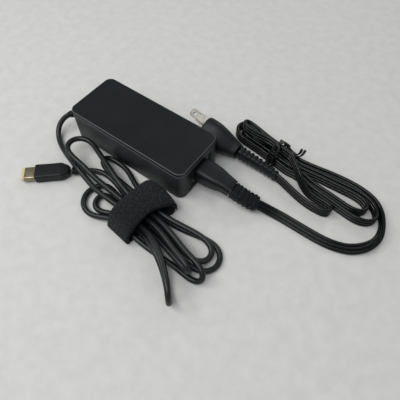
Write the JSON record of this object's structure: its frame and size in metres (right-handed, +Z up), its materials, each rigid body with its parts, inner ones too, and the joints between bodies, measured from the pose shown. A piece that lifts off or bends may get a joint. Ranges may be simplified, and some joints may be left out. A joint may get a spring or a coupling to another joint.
{
  "type": "laptop power adapter",
  "caption": "Rounded black power brick with a strapped round output lead and its connector, and an unpluggable flat mains lead, folded under a twist tie, with an earthed plug.",
  "frame": {"origin": "centre of the underside of the case", "axes": "+X along the case towards the mains inlet, +Y towards the side on which the plug lies, +Z up"},
  "size_m": [0.2565, 0.1613, 0.0295],
  "materials": {
    "case_black": "fine moulded texture",
    "lead_black": "soft vinyl sheath",
    "moulded_black": "overmoulded soft plastic",
    "webbing_charcoal": "fine woven hook-and-loop webbing",
    "label_grey": "plain matt film",
    "board_green": "solder-masked glass laminate",
    "ferrite_dark": "matt ferrite",
    "tape_yellow": "polyester tape",
    "sleeve_dark": "shrunk sleeve",
    "box_blue": "moulded box",
    "ceramic_blue": "dipped ceramic",
    "aluminium_sheet": "mill finish",
    "contact_nickel": "nickel-plated brass",
    "contact_brass": "bright brass",
    "copper_winding": "enamelled copper wire",
    "package_black": "moulded epoxy",
    "sheet_white": "insulating paper",
    "tip_yellow": "moulded insulator"
  },
  "bodies": {
    "root": {"lower_case": "case_black", "upper_case": "case_black", "rating_label": "label_grey", "insulating_sheet": "sheet_white", "circuit_board": "board_green", "transformer_core": "ferrite_dark", "transformer_winding": "tape_yellow", "bulk_capacitor": "sleeve_dark", "output_capacitor_1": "sleeve_dark", "output_capacitor_2": "sleeve_dark", "x_capacitor": "box_blue", "y_capacitor": "ceramic_blue", "common_mode_choke": "copper_winding", "fuse": "contact_brass", "bridge_rectifier": "package_black", "output_choke": "ferrite_dark", "optocoupler": "package_black", "controller_chip": "package_black", "primary_heatsink": "aluminium_sheet", "secondary_heatsink": "aluminium_sheet", "switching_transistor": "package_black", "output_rectifier": "package_black", "heat_spreader": "aluminium_sheet", "inlet_socket": "package_black", "inlet_pin_line": "contact_nickel", "inlet_pin_neutral": "contact_nickel", "inlet_pin_earth": "contact_nickel", "dc_strain_relief": "moulded_black", "dc_lead_start": "lead_black", "dc_lead_hank": "lead_black", "dc_lead_end": "lead_black", "dc_connector_relief": "moulded_black", "hook_and_loop_strap": "webbing_charcoal", "dc_connector_shell": "contact_nickel", "dc_connector_insulator": "tip_yellow", "dc_connector_contact": "contact_brass", "dc_connector_body": "moulded_black"},
    "mains_lead": {"mains_connector_body": "moulded_black", "mains_contact_line": "contact_brass", "mains_contact_neutral": "contact_brass", "mains_contact_earth": "contact_brass", "mains_connector_relief": "moulded_black", "mains_lead_start": "lead_black", "mains_lead_hank": "lead_black", "mains_lead_end": "lead_black", "plug_relief": "moulded_black", "twist_tie": "lead_black", "plug_body": "moulded_black", "plug_blade_upper": "contact_nickel", "plug_blade_lower": "contact_nickel", "plug_earth_pin": "contact_nickel"}
  },
  "joints": [
    {"name": "mains_connector_pull", "type": "slide", "parent": "root", "child": "mains_lead", "axis": [1, 0, 0], "range_m": [0, 0.022]}
  ]
}
